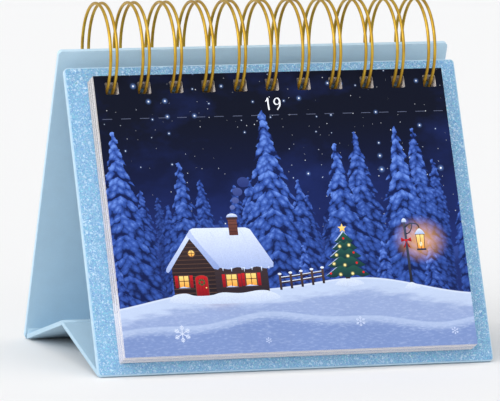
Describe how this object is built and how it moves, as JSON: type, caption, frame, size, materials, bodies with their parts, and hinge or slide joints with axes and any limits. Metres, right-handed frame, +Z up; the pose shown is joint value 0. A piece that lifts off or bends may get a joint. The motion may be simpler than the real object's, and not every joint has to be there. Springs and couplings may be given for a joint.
{
  "type": "postcard advent calendar",
  "caption": "Desk calendar of picture postcards hung by a twin-loop wire on a folding easel stand of covered board.",
  "frame": {"origin": "on the table surface, in the middle of the object's box", "axes": "+X along the wire, to the right as seen from the card side, +Y to the rear, +Z up"},
  "size_m": [0.1686, 0.1168, 0.1458],
  "materials": {
    "cover_paper": "matt light-blue cover paper on 2 mm grey board",
    "glitter_paper": "pale blue paper with fine glitter",
    "printed_card": "satin printed card, night-blue picture side",
    "gold_wire": "gold lacquered steel wire"
  },
  "bodies": {
    "front_stand": {"front_board": "cover_paper", "glitter_facing": "glitter_paper", "twin_wire": "gold_wire"},
    "front_flap": {"base_front_flap": "cover_paper"},
    "back_flap": {"base_back_flap": "cover_paper"},
    "back_stand": {"back_board": "cover_paper"},
    "card_01": {"card_01": "printed_card"},
    "card_02": {"card_02": "printed_card"},
    "card_03": {"card_03": "printed_card"},
    "card_04": {"card_04": "printed_card"},
    "card_05": {"card_05": "printed_card"},
    "card_06": {"card_06": "printed_card"},
    "card_07": {"card_07": "printed_card"},
    "card_08": {"card_08": "printed_card"},
    "card_09": {"card_09": "printed_card"},
    "card_10": {"card_10": "printed_card"},
    "card_11": {"card_11": "printed_card"},
    "card_12": {"card_12": "printed_card"},
    "card_13": {"card_13": "printed_card"},
    "card_14": {"card_14": "printed_card"},
    "card_15": {"card_15": "printed_card"},
    "card_16": {"card_16": "printed_card"},
    "card_17": {"card_17": "printed_card"},
    "card_18": {"card_18": "printed_card"},
    "card_19": {"card_19": "printed_card"},
    "card_20": {"card_20": "printed_card"},
    "card_21": {"card_21": "printed_card"},
    "card_22": {"card_22": "printed_card"},
    "card_23": {"card_23": "printed_card"},
    "card_24": {"card_24": "printed_card"}
  },
  "joints": [
    {"name": "stand_fold", "type": "hinge", "parent": "front_stand", "child": "front_flap", "pos_m": [0, -0.04917, 0.0022], "axis": [1, 0, 0], "range_deg": [0, 40]},
    {"name": "ridge_fold", "type": "hinge", "parent": "front_flap", "child": "back_flap", "pos_m": [0, 0.00313, 0.01338], "axis": [-1, 0, 0], "range_deg": [0, 104]},
    {"name": "back_board_fold", "type": "hinge", "parent": "back_flap", "child": "back_stand", "pos_m": [0, 0.05543, 0.0022], "axis": [1, 0, 0], "range_deg": [0, 39.2]},
    {"name": "turn_card_24", "type": "hinge", "parent": "front_stand", "child": "card_24", "pos_m": [0, 0.0053, 0.12465], "axis": [-1, 0, 0], "range_deg": [0, 240]},
    {"name": "turn_card_23", "type": "hinge", "parent": "card_24", "child": "card_23", "pos_m": [0, 0.0053, 0.12465], "axis": [-1, 0, 0], "range_deg": [0, 240]},
    {"name": "turn_card_22", "type": "hinge", "parent": "card_23", "child": "card_22", "pos_m": [0, 0.0053, 0.12465], "axis": [-1, 0, 0], "range_deg": [0, 240]},
    {"name": "turn_card_21", "type": "hinge", "parent": "card_22", "child": "card_21", "pos_m": [0, 0.0053, 0.12465], "axis": [-1, 0, 0], "range_deg": [0, 240]},
    {"name": "turn_card_20", "type": "hinge", "parent": "card_21", "child": "card_20", "pos_m": [0, 0.0053, 0.12465], "axis": [-1, 0, 0], "range_deg": [0, 240]},
    {"name": "turn_card_19", "type": "hinge", "parent": "card_20", "child": "card_19", "pos_m": [0, 0.0053, 0.12465], "axis": [-1, 0, 0], "range_deg": [0, 240]},
    {"name": "turn_card_18", "type": "hinge", "parent": "card_19", "child": "card_18", "pos_m": [0, 0.0053, 0.12465], "axis": [-1, 0, 0], "range_deg": [0, 240]},
    {"name": "turn_card_17", "type": "hinge", "parent": "card_18", "child": "card_17", "pos_m": [0, 0.0053, 0.12465], "axis": [-1, 0, 0], "range_deg": [0, 240]},
    {"name": "turn_card_16", "type": "hinge", "parent": "card_17", "child": "card_16", "pos_m": [0, 0.0053, 0.12465], "axis": [-1, 0, 0], "range_deg": [0, 240]},
    {"name": "turn_card_15", "type": "hinge", "parent": "card_16", "child": "card_15", "pos_m": [0, 0.0053, 0.12465], "axis": [-1, 0, 0], "range_deg": [0, 240]},
    {"name": "turn_card_14", "type": "hinge", "parent": "card_15", "child": "card_14", "pos_m": [0, 0.0053, 0.12465], "axis": [-1, 0, 0], "range_deg": [0, 240]},
    {"name": "turn_card_13", "type": "hinge", "parent": "card_14", "child": "card_13", "pos_m": [0, 0.0053, 0.12465], "axis": [-1, 0, 0], "range_deg": [0, 240]},
    {"name": "turn_card_12", "type": "hinge", "parent": "card_13", "child": "card_12", "pos_m": [0, 0.0053, 0.12465], "axis": [-1, 0, 0], "range_deg": [0, 240]},
    {"name": "turn_card_11", "type": "hinge", "parent": "card_12", "child": "card_11", "pos_m": [0, 0.0053, 0.12465], "axis": [-1, 0, 0], "range_deg": [0, 240]},
    {"name": "turn_card_10", "type": "hinge", "parent": "card_11", "child": "card_10", "pos_m": [0, 0.0053, 0.12465], "axis": [-1, 0, 0], "range_deg": [0, 240]},
    {"name": "turn_card_09", "type": "hinge", "parent": "card_10", "child": "card_09", "pos_m": [0, 0.0053, 0.12465], "axis": [-1, 0, 0], "range_deg": [0, 240]},
    {"name": "turn_card_08", "type": "hinge", "parent": "card_09", "child": "card_08", "pos_m": [0, 0.0053, 0.12465], "axis": [-1, 0, 0], "range_deg": [0, 240]},
    {"name": "turn_card_07", "type": "hinge", "parent": "card_08", "child": "card_07", "pos_m": [0, 0.0053, 0.12465], "axis": [-1, 0, 0], "range_deg": [0, 240]},
    {"name": "turn_card_06", "type": "hinge", "parent": "card_07", "child": "card_06", "pos_m": [0, 0.0053, 0.12465], "axis": [-1, 0, 0], "range_deg": [0, 240]},
    {"name": "turn_card_05", "type": "hinge", "parent": "card_06", "child": "card_05", "pos_m": [0, 0.0053, 0.12465], "axis": [-1, 0, 0], "range_deg": [0, 240]},
    {"name": "turn_card_04", "type": "hinge", "parent": "card_05", "child": "card_04", "pos_m": [0, 0.0053, 0.12465], "axis": [-1, 0, 0], "range_deg": [0, 240]},
    {"name": "turn_card_03", "type": "hinge", "parent": "card_04", "child": "card_03", "pos_m": [0, 0.0053, 0.12465], "axis": [-1, 0, 0], "range_deg": [0, 240]},
    {"name": "turn_card_02", "type": "hinge", "parent": "card_03", "child": "card_02", "pos_m": [0, 0.0053, 0.12465], "axis": [-1, 0, 0], "range_deg": [0, 240]},
    {"name": "turn_card_01", "type": "hinge", "parent": "card_02", "child": "card_01", "pos_m": [0, 0.0053, 0.12465], "axis": [-1, 0, 0], "range_deg": [0, 240]}
  ],
  "couplings": [
    {"joint": "ridge_fold", "follows": "stand_fold", "ratio": 2.6},
    {"joint": "back_board_fold", "follows": "stand_fold", "ratio": 0.98}
  ]
}
